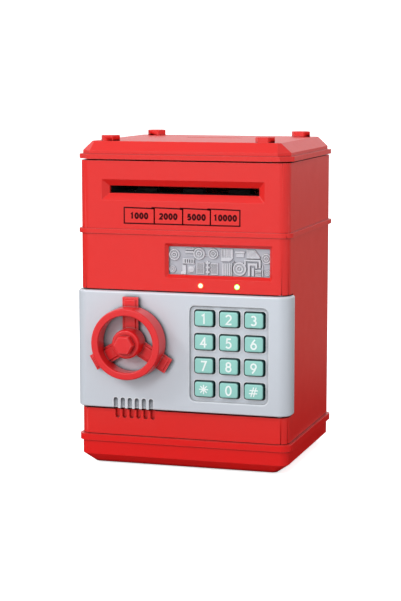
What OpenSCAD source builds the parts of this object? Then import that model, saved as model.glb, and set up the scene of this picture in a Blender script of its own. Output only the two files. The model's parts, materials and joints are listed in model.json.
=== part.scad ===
// Toy safe coin bank: a moulded case with a bill slot that draws notes in, a coin slot in
// the lid, and a hinged door with a keypad and a turning latch wheel.
// Every piece is drawn with x = 0 at the middle of the case, y = 0 at the front plane of
// the case and z = 0 at the underside of the base tray. placed() then moves it to the
// part's own origin, the centre of its footprint at the bottom of the feet.

/* [Case] */
// Width of the case walls
case_w = 124; // [123:0.5:125]
// Depth of the case from front plane to rear plane
case_d = 103; // [102:0.5:108]
// Wall thickness of the mouldings
wall = 2.2; // [2:0.1:2.4]
// Radius of the front vertical corners
corner_r = 6; // [5:0.5:6]
// Depth at which the front frame meets the rear shell
seam_y = 15.8; // [15.6:0.1:16.4]
// Height of the ridge that runs round the case
ridge_z = 134.3; // [134:0.1:136]

/* [Base] */
// Height of the base tray under the groove
tray_h = 17.1; // [17:0.1:17.3]
// Height of the sloped foot of the tray
foot_slope_h = 5; // [4:0.5:6]
// How far the rubber feet stand below the tray
foot_h = 1; // [0.8:0.1:1.6]

/* [Lid] */
// Underside of the lid flange
lid_z = 176.7; // [176.6:0.1:177]
// Height of the lid flange and band up to the slope
lid_band_h = 4.7; // [4:0.1:5]
// Height of the lid slope above the band
lid_slope_h = 5.4; // [5:0.1:6]
// Width across the corners of the hex bolt heads
bolt_across = 11.4; // [10:0.1:12]
// Length of the coin slot
coin_slot_l = 34; // [30:0.5:36]
// Width of the coin slot
coin_slot_w = 4.4; // [4.2:0.1:5]

/* [Bill slot] */
// Half width of the slot opening
slot_half_w = 44.3; // [40:0.1:45]
// Height of the slot opening
slot_h = 4.4; // [4.2:0.1:4.6]
// Height of the slot's centre
slot_z = 159.4; // [159:0.1:160]

/* [Door] */
// Lower edge of the door
door_z0 = 33.6; // [33.5:0.1:33.9]
// Upper edge of the door
door_z1 = 101.6; // [101.3:0.1:101.7]
// How far the door face stands in front of the case
door_proud = 3; // [3:0.1:3.4]
// Half width over the door's wrapped sides
door_half_w = 63.5; // [63.4:0.1:63.6]
// Radius of the door's vertical corners
door_r = 7; // [7:0.1:7.2]

/* [Keypad] */
// Distance between key columns
key_pitch_x = 14.65; // [14.6:0.05:14.8]
// Distance between key rows
key_pitch_z = 13.5; // [13.4:0.05:13.7]
// Width of a key
key_w = 11.5; // [11:0.1:11.6]
// Height of a key
key_h = 9.3; // [9:0.1:9.4]

/* [Wheel] */
// Outer radius of the wheel ring
ring_r = 20.5; // [19:0.5:21]
// Inner radius of the wheel ring
ring_inner_r = 16.5; // [15.5:0.1:16.8]
// Radius to the tips of the three grips
grip_r = 26; // [25:0.5:27]

/* [Hidden] */
$fn = 48;

// Finishes
red = "#e2393b";
silver = "#c2c6cb";
mint = "#9ad8cc";
steel = "#b9bcc0";
black = "#2b2b2e";
board_green = "#2f6b45";

// Overall places
hw = case_w / 2;
inner_hw = hw - wall;
rear_r = 4;
proud = 1.6;                        // flange, ridge and bead beyond the walls
hex_front = 20.4;                   // wheel bolt head in front of the case
front_y = (hex_front - case_d - proud) / 2;
shell_z0 = tray_h + 0.3;
shell_z1 = lid_z - 0.8;
fit = 0.02;                         // shaft fixed in its own hole
running = 0.06;                     // shaft turning or sliding in its hole

// Door opening
sill_z = door_z0 - 1.3;
lintel_z = door_z1 + 0.6;
door_back_y = 9.5;
hinge_x = door_half_w - door_r;
hinge_y = door_r - door_proud;
hinge_pin_r = 1.5;
bulkhead_y = 13.4;
bulkhead_t = 2;
vault_half_w = 45;
vault_z0 = 40;
vault_z1 = 96;

// Keypad places
pad_x = 28.6;
pad_z = 67.6;
pad_recess = 1.5;
key_front = 4;                      // key face in front of the case
key_wall_y = 0.6;                   // back of the wall with the key holes

// Wheel places
wheel_x = -28.9;
wheel_z = 72.9;
shaft_r = 3;
wheel_back = 4.3;                   // back of the wheel in front of the case
ring_front = 16.5;
grip_front = 8;
hub_r = 8.4;
hub_front = 15.6;
cam_y = 16.4;
cam_t = 2;
cam_reach = 22;
collar_r = 7.5;
collar_y = 2;
collar_t = 3.4;

// Vents
vent_pitch = 4.27;
vent_x0 = -39.3;
vent_r = 1.4;
vent_depth = 2.2;

// Bolts and screws
bolt_x = 45.8;
bolt_ys = [9.5, case_d - 9.5];
screw_r = 1.25;
base_screw_x = 50;
base_screw_ys = [10.5, case_d - 10];
frame_screw_x = 55;
frame_screw_zs = [46, 90];

// Bill feeder
feed_y = 24;
roller_r = 4.85;
feed_z = slot_z - 5;
pinch_z = slot_z + 5;
feed_shaft_r = 1.5;
plate_x = 47.5;
plate_t = 2;
feeder_top = slot_z + 12.2;
gear_m = 0.9;
gear_teeth = 28;
pinion_teeth = 12;
gear_x = -57;
gear_t = 3.6;
motor_y = feed_y + gear_m * (gear_teeth + pinion_teeth) / 2;
motor_r = 8;

// Board and lamps
board_y = 8.2;
board_t = 1.6;
led_r = 1.5;
led_xs = [10.9, 32.3];
led_z = 106;
board_screw_zs = [112, 130];
window = [-10.4, 109.9, 52.7, 129.6];
window_slope = 2;

// Batteries
cell_r = 7.15;
cell_l = 50;
cell_pitch = 15;
bay_y0 = 38;
bay_y1 = 94;

// Coin chute
chute_y = 64;

// ---- helpers ----

// Moves a piece from the case's front plane to the part's origin
module placed() {
    translate([0, front_y, foot_h]) children();
}

// Plan outline with rounded corners, front radius rf and rear radius rr
module plan(half, y0, y1, rf, rr) {
    translate([-half, y0 + rf]) square([2 * half, y1 - y0 - rf - rr]);
    translate([rf - half, y0]) square([2 * (half - rf), 2 * rf]);
    translate([rr - half, y1 - 2 * rr]) square([2 * (half - rr), 2 * rr]);
    for (s = [-1, 1]) {
        translate([s * (half - rf), y0 + rf]) circle(rf);
        translate([s * (half - rr), y1 - rr]) circle(rr);
    }
}

// Points of a rectangle with rounded corners, anticlockwise
function rounded(x0, y0, x1, y1, r, steps = 5) = [
    for (c = [[x1 - r, y0 + r, 270], [x1 - r, y1 - r, 0], [x0 + r, y1 - r, 90], [x0 + r, y0 + r, 180]])
        for (i = [0:steps])
            [c[0] + r * cos(c[2] + 90 * i / steps), c[1] + r * sin(c[2] + 90 * i / steps)]];

// Points of a rectangle with cut corners, anticlockwise
function cut_corners(half, y0, y1, c) = [
    [c - half, y0], [half - c, y0], [half, y0 + c], [half, y1 - c],
    [half - c, y1], [c - half, y1], [-half, y1 - c], [-half, y0 + c]];

// Solid between two outlines with the same number of points, at heights z0 and z1
module loft(low, z0, high, z1) {
    n = len(low);
    polyhedron(
        points = concat([for (p = low) [p[0], p[1], z0]], [for (p = high) [p[0], p[1], z1]]),
        faces = concat(
            [[for (i = [0:n - 1]) i], [for (i = [n - 1:-1:0]) n + i]],
            [for (i = [0:n - 1]) [i, n + i, n + (i + 1) % n, (i + 1) % n]]));
}

// Stands a drawing of x and z up in the x-z plane, its own z pointing to the front
module facing_front(y = 0) {
    translate([0, y, 0]) rotate([90, 0, 0]) children();
}

// Round bar along x, y or z, from one end to the other
module bar_x(r, x0, x1, y, z) {
    translate([x0, y, z]) rotate([0, 90, 0]) cylinder(r = r, h = x1 - x0);
}
module bar_y(r, y0, y1, x, z) {
    translate([x, y0, z]) rotate([-90, 0, 0]) cylinder(r = r, h = y1 - y0);
}
module bar_z(r, z0, z1, x, y) {
    translate([x, y, z0]) cylinder(r = r, h = z1 - z0);
}

// Block from one corner to the other
module block(a, b) {
    translate(a) cube([b[0] - a[0], b[1] - a[1], b[2] - a[2]]);
}

// Ring of wall between two plans, cut to the front or rear of the seam
module shell_walls(z0, z1, front) {
    translate([0, 0, z0]) linear_extrude(z1 - z0) difference() {
        plan(hw, 0, case_d, corner_r, rear_r);
        plan(inner_hw, wall, case_d - wall, corner_r - wall, rear_r - wall);
        seam_cut(front);
    }
}
module seam_cut(front) {
    if (front) translate([-80, seam_y]) square([160, 120]);
    else translate([-80, -20]) square([160, seam_y + 0.1 + 20]);
}

// Ridge that runs round the case, cut to the front or rear of the seam
module ridge(front) {
    translate([0, 0, ridge_z]) linear_extrude(2.6) difference() {
        plan(hw + proud, -0.8, case_d + proud, corner_r + 0.8, rear_r + 1);
        plan(hw - 1, 1, case_d - 1, corner_r - 1, rear_r - 1);
        seam_cut(front);
    }
}

// Tooth outline of a spur gear: an involute flank on each side of every tooth
function involute(base, t) = [base * (cos(t) + t * PI / 180 * sin(t)), base * (sin(t) - t * PI / 180 * cos(t))];
function flank_angle(base, r) = sqrt(pow(r / base, 2) - 1) * 180 / PI;
function turned(p, a) = [p[0] * cos(a) - p[1] * sin(a), p[0] * sin(a) + p[1] * cos(a)];
function tooth(m, n, slack) = let (
    pitch = m * n / 2, base = pitch * cos(25), tip = pitch + 0.9 * m, root = pitch - 1.2 * m,
    t0 = root < base ? 0 : flank_angle(base, root), t1 = flank_angle(base, tip),
    tp = flank_angle(base, pitch), pa = tp - atan(tp * PI / 180),
    half = 90 / n - slack * 90 / (PI * pitch) + pa,
    side = [for (i = [0:4]) turned(involute(base, t0 + (t1 - t0) * i / 4), -half)])
    concat([turned([root, 0], -half - (root < base ? 0.01 : 0))], side,
           [for (i = [4:-1:0]) [side[i][0], -side[i][1]]],
           [turned([root, 0], half + (root < base ? 0.01 : 0))]);
module gear(m, n, slack = 0.16) {
    polygon([for (i = [0:n - 1]) for (p = tooth(m, n, slack)) turned(p, 360 * i / n)]);
}

// Pan-head screw along +z from the underside of its head at z = 0, shank upwards
module screw(len, head_r = 2.4, head_h = 1.4) {
    difference() {
        translate([0, 0, -head_h]) cylinder(r = head_r, h = head_h);
        for (a = [0, 90]) rotate(a) translate([-1.5, -0.3, -head_h - 0.1]) cube([3, 0.6, 0.8]);
    }
    cylinder(r = screw_r - fit, h = len);
}

// Upright pill-shaped pocket cut from the front, open at its top or at its bottom
module vent(x, z0, z1, round_low, y) {
    end_z = round_low ? z0 + vent_r : z1 - vent_r;
    bar_y(vent_r, y - 1, y + vent_depth, x, end_z);
    block([x - vent_r, y - 1, round_low ? end_z : z0],
          [x + vent_r, y + vent_depth, round_low ? z1 : end_z]);
}

// ---- base ----

module base_tray() {
    floor_t = 2.4;
    color(red) placed() difference() {
        union() {
            difference() {
                union() {
                    loft(rounded(-hw + 7.2, 4, hw - 7.2, case_d - 4, 3), 0,
                         rounded(-hw, 0, hw, case_d, 5), foot_slope_h);
                    translate([0, 0, foot_slope_h]) linear_extrude(tray_h - foot_slope_h)
                        plan(hw, 0, case_d, 5, 5);
                    translate([0, 0, tray_h - 4]) linear_extrude(3.6)
                        plan(hw + proud, -1, case_d + proud, 6, 5);
                }
                translate([0, 0, floor_t]) linear_extrude(20)
                    plan(hw - 8.2, 6.4, case_d - 6.4, 3, 3);
                translate([0, 0, foot_slope_h]) linear_extrude(20)
                    plan(inner_hw, wall, case_d - wall, 3, 3);
            }
            for (s = [-1, 1]) {
                for (y = base_screw_ys) bar_z(3.6, 1, tray_h, s * base_screw_x, y);
                block([s * 24.7 - 0.8, bay_y0, 1], [s * 24.7 + 0.8, bay_y1, 14]);
            }
            for (y = [bay_y0, bay_y1 - 1.6]) block([-24, y, 1], [24, y + 1.6, 14]);
            bar_z(1.9, 2, 8, 0, bay_y0 - 0.4);
            difference() {
                bar_z(15, 1, 6, -24, 20);
                bar_z(13.4, 0, 7, -24, 20);
            }
        }
        for (s = [-1, 1]) for (y = base_screw_ys) {
            bar_z(1.6, -1, tray_h + 1, s * base_screw_x, y);
            bar_z(2.8, -1, 3, s * base_screw_x, y);
        }
        for (p = foot_places()) bar_z(5.1, -1, 1, p[0], p[1]);
        block([-25.1, bay_y0 - 3.1, -1], [25.1, bay_y1 + 3.1, 2.1]);
        block([-22.6, bay_y0 + 3, -1], [22.6, bay_y1 - 3, 3]);
        bar_z(screw_r, -1, 8, 0, bay_y0 - 0.4);
        for (a = [0:60:300]) bar_z(1.3, -1, 3, -24 + 5 * cos(a), 20 + 5 * sin(a));
        bar_z(1.3, -1, 3, -24, 20);
    }
}

function foot_places() = [for (s = [-1, 1]) for (y = [20.5, case_d - 20]) [s * 45, y]];

module rubber_feet() {
    color(black) placed() for (p = foot_places()) bar_z(5, -foot_h, 1, p[0], p[1]);
}

module battery_cover() {
    color(red) placed() difference() {
        block([-24.9, bay_y0 - 2.9, 0.1], [24.9, bay_y1 + 2.9, 2]);
        bar_z(screw_r + 0.2, -1, 3, 0, bay_y0 - 0.4);
        bar_z(2.1, -1, 0.9, 0, bay_y0 - 0.4);
        for (i = [0:5]) block([-9, bay_y1 - 11 + 2 * i, -1], [9, bay_y1 - 10 + 2 * i, 0.6]);
    }
}

module battery_screw() {
    color(steel) placed() translate([0, bay_y0 - 0.4, 0.9]) screw(6, 1.8, 0.8);
}

module batteries() {
    mid_y = (bay_y0 + bay_y1) / 2;
    color(black) placed() for (i = [-1:1]) {
        flip = i == 0 ? -1 : 1;
        bar_y(cell_r, mid_y - cell_l / 2 + 0.7, mid_y + cell_l / 2 - 0.7, i * cell_pitch, cell_r + 2.3);
        translate([0, mid_y, 0]) mirror([0, flip < 0 ? 1 : 0, 0])
            bar_y(2.6, cell_l / 2 - 0.7, cell_l / 2 + 0.4, i * cell_pitch, cell_r + 2.3);
    }
}

module battery_contacts() {
    color(steel) placed() for (i = [-1:1]) for (y = [bay_y0 + 1.7, bay_y1 - 2])
        block([i * cell_pitch - 5, y, 3.2], [i * cell_pitch + 5, y + 0.3, 15]);
}

module speaker() {
    color(black) placed() {
        bar_z(13, 2.5, 4.1, -24, 20);
        bar_z(10, 4.1, 7.2, -24, 20);
        bar_z(6.5, 7.2, 11, -24, 20);
    }
}

module base_screws() {
    color(steel) placed() for (s = [-1, 1]) for (y = base_screw_ys)
        translate([s * base_screw_x, y, 3]) screw(20, 2.6, 1.8);
}

// ---- rear half of the case ----

module rear_shell() {
    boss_y = base_screw_ys[1];
    color(red) placed() difference() {
        union() {
            shell_walls(shell_z0, shell_z1, false);
            ridge(false);
            for (s = [-1, 1]) {
                bar_z(3.5, shell_z0, 30, s * base_screw_x, boss_y);
                block([s * base_screw_x - 1.2, boss_y, shell_z0], [s * base_screw_x + 1.2, case_d - 1, 30]);
                block([min(s * 57.8, s * hw - s), 20, shell_z0], [max(s * 57.8, s * hw - s), 88, 19.2]);
                bar_z(3.6, 158, shell_z1, s * bolt_x, bolt_ys[1]);
                block([s * bolt_x - 1.5, bolt_ys[1], 158], [s * bolt_x + 1.5, case_d - 1, shell_z1]);
                for (z = frame_screw_zs)
                    block([min(s * 51.5, s * hw - s), seam_y + 0.1, z - 4], [max(s * 51.5, s * hw - s), 25, z + 4]);
            }
            block([-50, case_d - 3, 19.2], [50, case_d - 1, 21.4]);
        }
        block([-52, case_d - 7, 19.2], [52, case_d - wall, 21.2]);
        for (s = [-1, 1]) {
            bar_z(screw_r, shell_z0 - 1, 28, s * base_screw_x, boss_y);
            bar_z(1.5, 160, shell_z1 + 1, s * bolt_x, bolt_ys[1]);
            for (z = frame_screw_zs) bar_y(screw_r, 10, 24, s * frame_screw_x, z);
        }
    }
}

module safe_floor() {
    color(red) placed() difference() {
        block([-inner_hw + 0.2, seam_y + 0.4, 19.2], [inner_hw - 0.2, case_d - wall - 0.3, 21.2]);
        for (s = [-1, 1])
            block([min(s * 44, s * 62), base_screw_ys[1] - 6, 18], [max(s * 44, s * 62), case_d, 22]);
    }
}

// ---- front half of the case ----

module front_frame() {
    bezel = [48.2, slot_z - 6.1, slot_z + 5.9];
    lower_boss_y = base_screw_ys[0];
    color(red) placed() difference() {
        union() {
            shell_walls(shell_z0, sill_z, true);
            shell_walls(lintel_z, shell_z1, true);
            ridge(true);
            // sill and lintel
            for (z = [sill_z - wall, lintel_z]) translate([0, 0, z])
                linear_extrude(z < 50 ? wall : 1.9) difference() {
                    plan(hw - 1, 1, case_d, corner_r - 1, rear_r);
                    seam_cut(true);
                }
            // wall behind the door, with the way into the safe
            block([-inner_hw - 1, bulkhead_y, shell_z0], [inner_hw + 1, bulkhead_y + bulkhead_t, lintel_z + 1]);
            for (s = [-1, 1])
                block([min(s * (hw - 2), s * hw), door_back_y + 0.4, sill_z - 1],
                      [max(s * (hw - 2), s * hw), seam_y, lintel_z + 1]);
            // thick surround of the bill slot
            block([-50.5, 1, bezel[1] - 2.2], [50.5, 5.4, bezel[2] + 2.2]);
            for (s = [-1, 1]) {
                bar_z(3.6, 166, shell_z1, s * bolt_x, bolt_ys[0]);
                block([s * bolt_x - 1.5, 1, 166], [s * bolt_x + 1.5, bolt_ys[0], shell_z1]);
                block([s * 34 - 4, 1, bezel[2]], [s * 34 + 4, 11, bezel[2] + 2.2]);
                bar_z(3.5, shell_z0, sill_z - 1, s * base_screw_x, lower_boss_y);
                for (z = board_screw_zs) bar_y(2.2, 1, board_y, board_post_x(s), z);
            }
            // hinge sockets
            bar_z(3.2, 25, sill_z - 1, hinge_x, hinge_y);
            bar_z(3.2, lintel_z + 1, 107.5, hinge_x, hinge_y);
            // backing of the vent pockets
            block([vent_x0 - 3, 1, 25], [vent_x0 + 5 * vent_pitch + 3, 3.4, sill_z - 1]);
        }
        block([-vault_half_w, bulkhead_y - 1, vault_z0], [vault_half_w, bulkhead_y + 4, vault_z1]);
        facing_front() loft(rounded(-slot_half_w, slot_z - slot_h / 2, slot_half_w, slot_z + slot_h / 2, 0.4), -3,
            rounded(-bezel[0] - 0.6, bezel[1] - 0.6, bezel[0] + 0.6, bezel[2] + 0.6, 0.6), 0.5);
        block([-slot_half_w, 2, slot_z - slot_h / 2], [slot_half_w, 8, slot_z + slot_h / 2]);
        facing_front() loft(
            rounded(window[0] + window_slope, window[1] + window_slope, window[2] - window_slope,
                    window[3] - window_slope, 0.6), -wall - 0.2,
            rounded(window[0] - 0.2, window[1] - 0.2, window[2] + 0.2, window[3] + 0.2, 0.8), 0.2);
        for (x = led_xs) bar_y(led_r + 0.1, -1, 4, x, led_z);
        for (i = [0:5]) vent(vent_x0 + i * vent_pitch, 27.1, sill_z + 1, true, 0);
        // room for the door's wrapped side to swing
        bar_z(door_corner_sweep() + 0.4, sill_z, lintel_z, hinge_x, hinge_y);
        bar_z(hinge_pin_r + fit, 26, 107, hinge_x, hinge_y);
        for (s = [-1, 1]) {
            bar_z(1.5, 167, shell_z1 + 1, s * bolt_x, bolt_ys[0]);
            bar_z(screw_r, 160, 170, s * 34, 8);
            bar_z(screw_r, shell_z0 - 1, 28, s * base_screw_x, lower_boss_y);
            for (z = board_screw_zs) bar_y(0.8, 3, board_y + 1, board_post_x(s), z);
            for (z = frame_screw_zs) bar_y(1.5, 10, 18, s * frame_screw_x, z);
        }
    }
}

// Reach of the door's wrapped side from the hinge axis
function door_corner_sweep() = norm([door_r, door_back_y - hinge_y]);
// Across position of the board posts, left and right
function board_post_x(s) = s < 0 ? -46 : 56.6;

module frame_screws() {
    color(steel) placed() for (s = [-1, 1]) for (z = frame_screw_zs)
        translate([s * frame_screw_x, bulkhead_y, z]) rotate([-90, 0, 0]) screw(10, 2.2, 0.4);
}

module hinge_pins() {
    color(steel) placed() {
        bar_z(hinge_pin_r, 26.5, door_z0 + 4.5, hinge_x, hinge_y);
        bar_z(hinge_pin_r, door_z1 - 4.5, 106.5, hinge_x, hinge_y);
    }
}

module relief_plate() {
    color(silver) placed() {
        block([window[0] - 2, 3.6, window[1] - 2], [window[2] + 1.5, 5.2, window[3] + 2]);
        for (p = [[-5, 120, 4], [1, 124, 3.2], [12, 116, 5], [21, 122, 4], [34, 115, 4.6], [43, 121, 3.6]])
            bar_y(p[2], 2.5, 3.6, p[0], p[1]);
    }
}

module led(x) {
    placed() {
        translate([x, 0.2, led_z]) sphere(led_r);
        bar_y(led_r, 0.2, 4.6, x, led_z);
        bar_y(led_r + 0.2, 4.6, 5.6, x, led_z);
        for (s = [-1, 1]) bar_y(0.3, 5.6, board_y, x + s * 0.8, led_z);
    }
}
module red_led() { color("#ff6a3c") led(led_xs[0]); }
module green_led() { color("#a6e05a") led(led_xs[1]); }

module main_board() {
    color(board_green) placed() difference() {
        block([-50, board_y, 105], [59, board_y + board_t, 133.5]);
        for (s = [-1, 1]) for (z = board_screw_zs) bar_y(1.1, board_y - 1, board_y + 3, board_post_x(s), z);
    }
}

module board_parts() {
    y = board_y + board_t;
    color(black) placed() {
        block([-30, y, 114], [-16, y + 1.8, 126]);
        block([4, y, 120], [12, y + 1.5, 127]);
        block([26, y, 108], [40, y + 3, 113]);
        bar_y(2.5, y, y + 3.2, -38, 114);
        bar_y(2.5, y, y + 3.2, 20, 124);
        block([44, y, 118], [48, y + 3, 130]);
    }
}

module board_screws() {
    color(steel) placed() for (s = [-1, 1]) for (z = board_screw_zs)
        translate([board_post_x(s), board_y + board_t, z]) rotate([90, 0, 0]) {
            translate([0, 0, -0.9]) cylinder(r = 1.7, h = 0.9);
            cylinder(r = 0.8 - fit, h = 5.5);
        }
}

module partition_plate() {
    color(red) placed() block([-inner_hw + 0.3, bulkhead_y, lintel_z + 2], [inner_hw - 0.3, bulkhead_y + 1.6, 143]);
}

// ---- bill feeder ----

module note_guide() {
    color(black) placed() difference() {
        block([-46.4, 5.5, slot_z - 3.8], [46.4, 18.4, slot_z + 3.8]);
        block([-slot_half_w, 5, slot_z - slot_h / 2], [slot_half_w, 19, slot_z + slot_h / 2]);
    }
}

module feeder_frame() {
    color(black) placed() difference() {
        union() {
            block([-plate_x - plate_t, 14, 146], [-plate_x, 53, feeder_top]);
            block([plate_x, 14, 146], [plate_x + plate_t, 34, feeder_top]);
            block([-plate_x - 1, 14, feeder_top - 1.7], [plate_x + 1, 34, feeder_top]);
            for (s = [-1, 1]) block([s * 34 - 3.8, 4, slot_z + 8.1], [s * 34 + 3.8, 15, feeder_top]);
        }
        for (z = [feed_z, pinch_z]) bar_x(feed_shaft_r + running, -60, 60, feed_y, z);
        bar_x(3.1, -60, -40, motor_y, feed_z);
        block([-60, 36, 164], [-40, 60, 180]);
        for (s = [-1, 1]) bar_z(screw_r + 0.2, 160, 180, s * 34, 8);
    }
}

module feeder_screws() {
    color(steel) placed() for (s = [-1, 1])
        translate([s * 34, 8, feeder_top]) mirror([0, 0, 1]) screw(5.5);
}

module drive_motor() {
    color(steel) placed() difference() {
        union() {
            bar_x(motor_r, -47.5, -24, motor_y, feed_z);
            bar_x(3, -49.5, -47.5, motor_y, feed_z);
            bar_x(3, -24, -22, motor_y, feed_z);
        }
        bar_x(1 + running, -60, -34, motor_y, feed_z);
    }
}

module motor_pinion() {
    color("white") placed() {
        translate([gear_x, motor_y, feed_z]) rotate([0, 90, 0]) linear_extrude(gear_t)
            rotate(-90 + 180 / pinion_teeth) gear(gear_m, pinion_teeth);
        bar_x(1, gear_x + 1, -35, motor_y, feed_z);
    }
}

module feed_shaft() {
    color(steel) placed() bar_x(feed_shaft_r, gear_x, plate_x + plate_t + 3, feed_y, feed_z);
}

module feed_gear() {
    color("white") placed() translate([gear_x, feed_y, feed_z]) rotate([0, 90, 0]) difference() {
        union() {
            linear_extrude(gear_t) rotate(90) gear(gear_m, gear_teeth);
            cylinder(r = 4, h = gear_t + 3);
        }
        translate([0, 0, -1]) cylinder(r = feed_shaft_r + fit, h = 20);
    }
}

module rollers(z) {
    placed() for (x = [-28, 0, 28]) difference() {
        bar_x(roller_r, x - 6, x + 6, feed_y, z);
        bar_x(feed_shaft_r + fit, x - 7, x + 7, feed_y, z);
    }
}
module feed_rollers() { color(black) rollers(feed_z); }
module pinch_rollers() { color(black) rollers(pinch_z); }

module pinch_shaft() {
    color(steel) placed() bar_x(feed_shaft_r, -plate_x - plate_t - 2, plate_x + plate_t + 2, feed_y, pinch_z);
}

// ---- lid ----

module top_cover() {
    top_z = lid_z + lid_band_h + lid_slope_h;
    band = cut_corners(hw - 0.3, 0.2, case_d - 0.2, 6.4);
    color(red) placed() difference() {
        union() {
            difference() {
                union() {
                    loft(band, lid_z + lid_band_h, cut_corners(hw - 6.3, 4.6, case_d - 4.6, 1.6), top_z);
                    translate([0, 0, lid_z + 1]) linear_extrude(lid_band_h - 1) polygon(band);
                    translate([0, 0, lid_z]) linear_extrude(2.7)
                        polygon(cut_corners(hw + proud, -1, case_d + proud, 6.8));
                }
                translate([0, 0, lid_z - 1]) linear_extrude(lid_band_h)
                    polygon(cut_corners(hw - 3, 3, case_d - 3, 6));
                loft(cut_corners(hw - 3, 3, case_d - 3, 6), lid_z + lid_band_h - 1,
                     cut_corners(hw - 8, 7, case_d - 7, 2), top_z - 2.2);
            }
            for (s = [-1, 1]) for (y = bolt_ys) bar_z(5, lid_z - 0.6, top_z - 1, s * bolt_x, y);
            block([-coin_slot_l / 2 - 2, chute_y - 4.2, lid_z + 1], [coin_slot_l / 2 + 2, chute_y + 4.2, top_z - 1]);
        }
        for (s = [-1, 1]) for (y = bolt_ys) bar_z(1.6, lid_z - 2, top_z + 1, s * bolt_x, y);
        block([-coin_slot_l / 2, chute_y - coin_slot_w / 2, lid_z - 2],
              [coin_slot_l / 2, chute_y + coin_slot_w / 2, top_z + 1]);
    }
}

module cover_bolts() {
    top_z = lid_z + lid_band_h + lid_slope_h;
    color(red) placed() for (s = [-1, 1]) for (y = bolt_ys) translate([s * bolt_x, y, top_z]) {
        cylinder(r = bolt_across / 2, h = 3.2, $fn = 6);
        translate([0, 0, -18]) cylinder(r = 1.5 - fit, h = 18);
    }
}

module coin_chute() {
    color(black) placed() difference() {
        block([-coin_slot_l / 2 - 2, chute_y - 4.2, 162], [coin_slot_l / 2 + 2, chute_y + 4.2, lid_z + 1]);
        block([-coin_slot_l / 2, chute_y - coin_slot_w / 2, 160],
              [coin_slot_l / 2, chute_y + coin_slot_w / 2, 190]);
    }
}

// ---- door ----

module door_panel() {
    inside_y = -door_proud + 2.1;
    holes_x = pad_x - key_pitch_x;
    holes_z = pad_z - 1.5 * key_pitch_z;
    color(silver) placed() difference() {
        union() {
            difference() {
                translate([0, 0, door_z0]) linear_extrude(door_z1 - door_z0) intersection() {
                    plan(door_half_w, -door_proud, door_back_y + 6, door_r, 0.6);
                    translate([-80, -20]) square([160, 20 + door_back_y]);
                }
                translate([0, 0, door_z0 + 2]) linear_extrude(door_z1 - door_z0 - 4)
                    plan(door_half_w - 2, inside_y, door_back_y + 5, door_r - 2.1, 0.6);
            }
            block([pad_x - 25.5, inside_y - 1, pad_z - 29.6], [pad_x + 25.5, key_wall_y, pad_z + 29.6]);
            bar_y(7, inside_y - 1, 1.4, wheel_x, wheel_z);
            for (z = [[door_z0 + 1, door_z0 + 5], [door_z1 - 5, door_z1 - 1]])
                bar_z(3.2, z[0], z[1], hinge_x, hinge_y);
            for (p = door_screw_places()) bar_y(2.6, inside_y - 1, 7.2, p[0], p[1]);
            block([vent_x0 - 3, inside_y - 1, door_z0 + 1], [vent_x0 + 5 * vent_pitch + 3, 0, 42]);
            for (p = board_screw_places()) bar_y(1.9, 0, 3.8, p[0], p[1]);
        }
        facing_front(pad_recess - door_proud) linear_extrude(5)
            translate([pad_x - 0.3, pad_z - 0.2]) key_outline(46, 54.7, 3.2);
        for (i = [0:2]) for (j = [0:3])
            facing_front(3) linear_extrude(10) translate([holes_x + i * key_pitch_x, holes_z + j * key_pitch_z])
                key_outline(12.7, 9.9, 1.6);
        for (i = [0:5]) vent(vent_x0 + i * vent_pitch, door_z0 - 1, 39.8, false, -door_proud);
        bar_y(4.5, -10, 5, wheel_x, wheel_z);
        bar_z(hinge_pin_r + running, 30, 110, hinge_x, hinge_y);
        for (p = door_screw_places()) bar_y(0.9, 1, 8, p[0], p[1]);
        for (p = board_screw_places()) bar_y(0.7, 1, 8, p[0], p[1]);
    }
}

// Rounded rectangle about the origin
module key_outline(w, h, r) {
    polygon(rounded(-w / 2, -h / 2, w / 2, h / 2, r));
}
// Places of the screws that hold the liner, and of those that hold the keypad board
function door_screw_places() = [for (z = [40, 95]) for (x = [-57, -4]) [x, z], [57.6, 52], [57.6, 83]];
function board_screw_places() = [for (z = [42, 93]) for (x = [4.8, 52.4]) [x, z]];

module door_liner() {
    color(silver) placed() difference() {
        block([-door_half_w + 2.2, 7.3, door_z0 + 2.3], [door_half_w - 2.2, 9.3, door_z1 - 2.3]);
        bar_y(shaft_r + running, 0, 20, wheel_x, wheel_z);
        for (p = door_screw_places()) {
            bar_y(1.2, 0, 20, p[0], p[1]);
            bar_y(2.1, 8.4, 20, p[0], p[1]);
        }
    }
}

module door_screws() {
    color(steel) placed() {
        for (p = door_screw_places()) {
            bar_y(0.9 - fit, 2.5, 8.4, p[0], p[1]);
            bar_y(2, 8.4, 9.2, p[0], p[1]);
        }
        for (p = board_screw_places()) {
            bar_y(0.7 - fit, 1.5, 5.4, p[0], p[1]);
            bar_y(1.5, 5.4, 6.2, p[0], p[1]);
        }
    }
}

module keypad_mat() {
    color(black) placed() difference() {
        block([7.2, 2.9, 41], [50.2, 3.7, 94.4]);
        for (p = board_screw_places()) bar_y(2.1, 0, 8, p[0], p[1]);
    }
}

module keypad_board() {
    color(board_green) placed() difference() {
        block([3, 3.8, 39.6], [54.2, 5.4, 95.6]);
        for (p = board_screw_places()) bar_y(0.9, 0, 8, p[0], p[1]);
    }
}

module shaft_bushing() {
    color(black) placed() difference() {
        union() {
            bar_y(4.5 - fit, -door_proud, 1.6, wheel_x, wheel_z);
            bar_y(7, -door_proud - 0.8, -door_proud, wheel_x, wheel_z);
        }
        bar_y(shaft_r + running, -10, 10, wheel_x, wheel_z);
    }
}

module lock_solenoid() {
    mid_y = collar_y + collar_t / 2;
    color(steel) placed() difference() {
        block([wheel_x - 7, 0.2, 84], [wheel_x + 7, 7.1, 97.4]);
        bar_z(1.5 + running, 80, 95.5, wheel_x, mid_y);
    }
}

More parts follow.
